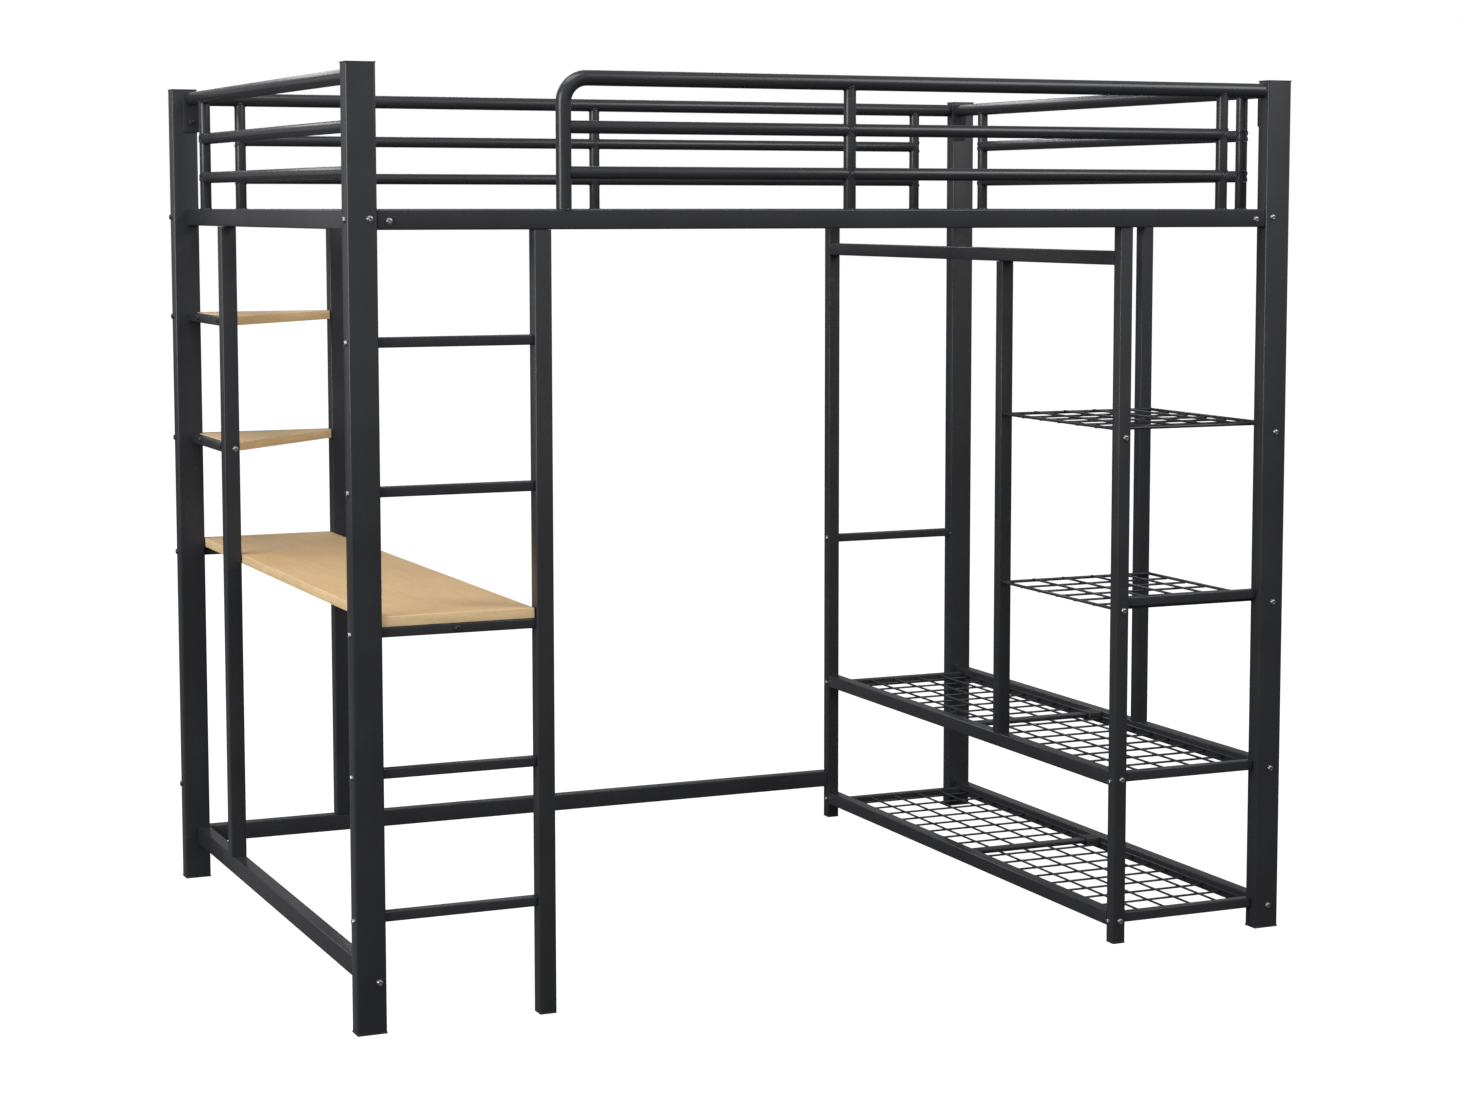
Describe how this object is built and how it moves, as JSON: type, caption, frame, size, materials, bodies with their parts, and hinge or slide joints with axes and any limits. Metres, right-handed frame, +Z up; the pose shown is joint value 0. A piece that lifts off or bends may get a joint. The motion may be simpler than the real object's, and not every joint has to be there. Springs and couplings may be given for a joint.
{
  "type": "loft bed with desk",
  "caption": "High loft bed of black steel tube with guard rails, a ladder, a wooden desk and corner shelves at one end, and an open wardrobe with wire shelves at the other.",
  "frame": {"origin": "centre of the footprint, on the floor", "axes": "+X along the bed from the desk end to the wardrobe end, +Y from the ladder side to the wall side, +Z up"},
  "size_m": [2.078, 1.46, 1.835],
  "materials": {
    "black_steel": "satin charcoal-black powder coat",
    "light_oak": "matt light oak melamine on board",
    "zinc": "zinc-plated fasteners",
    "black_plastic": "moulded feet and caps"
  },
  "bodies": {
    "root": {"bed_rail_back": "black_steel", "bed_rail_front": "black_steel", "bed_rail_left": "black_steel", "bed_rail_right": "black_steel", "corner_shelf_lower_back_bracket": "black_steel", "corner_shelf_lower_board": "light_oak", "corner_shelf_lower_side_bracket": "black_steel", "corner_shelf_upper_back_bracket": "black_steel", "corner_shelf_upper_board": "light_oak", "corner_shelf_upper_side_bracket": "black_steel", "desk_rail_back": "black_steel", "desk_rail_front": "black_steel", "desk_stile_back": "black_steel", "desk_stile_left": "black_steel", "desk_top": "light_oak", "divider_inner": "black_steel", "divider_outer": "black_steel", "floor_rail_back": "black_steel", "floor_rail_left": "black_steel", "guard_back_infill": "black_steel", "guard_back_top": "black_steel", "guard_front_infill": "black_steel", "guard_front_top": "black_steel", "guard_left_infill": "black_steel", "guard_left_top": "black_steel", "guard_right_infill": "black_steel", "guard_right_top": "black_steel", "hanging_rail": "black_steel", "ladder_stile": "black_steel", "post_back_left": "black_steel", "post_back_right": "black_steel", "post_front_left": "black_steel", "post_front_right": "black_steel", "rung_1": "black_steel", "rung_2": "black_steel", "rung_3": "black_steel", "rung_4": "black_steel", "shelf_lower_deck": "black_steel", "shelf_lower_inner_rail": "black_steel", "shelf_lower_outer_rail": "black_steel", "shelf_upper_deck": "black_steel", "shelf_upper_inner_rail": "black_steel", "shelf_upper_outer_rail": "black_steel", "slat_1": "black_steel", "slat_10": "black_steel", "slat_2": "black_steel", "slat_3": "black_steel", "slat_4": "black_steel", "slat_5": "black_steel", "slat_6": "black_steel", "slat_7": "black_steel", "slat_8": "black_steel", "slat_9": "black_steel", "slat_beam": "black_steel", "wardrobe_back_rail": "black_steel", "wardrobe_front_rail": "black_steel", "wardrobe_leg_back": "black_steel", "wardrobe_leg_front": "black_steel", "wire_shelf_lower": "black_steel", "wire_shelf_upper": "black_steel"}
  },
  "joints": []
}
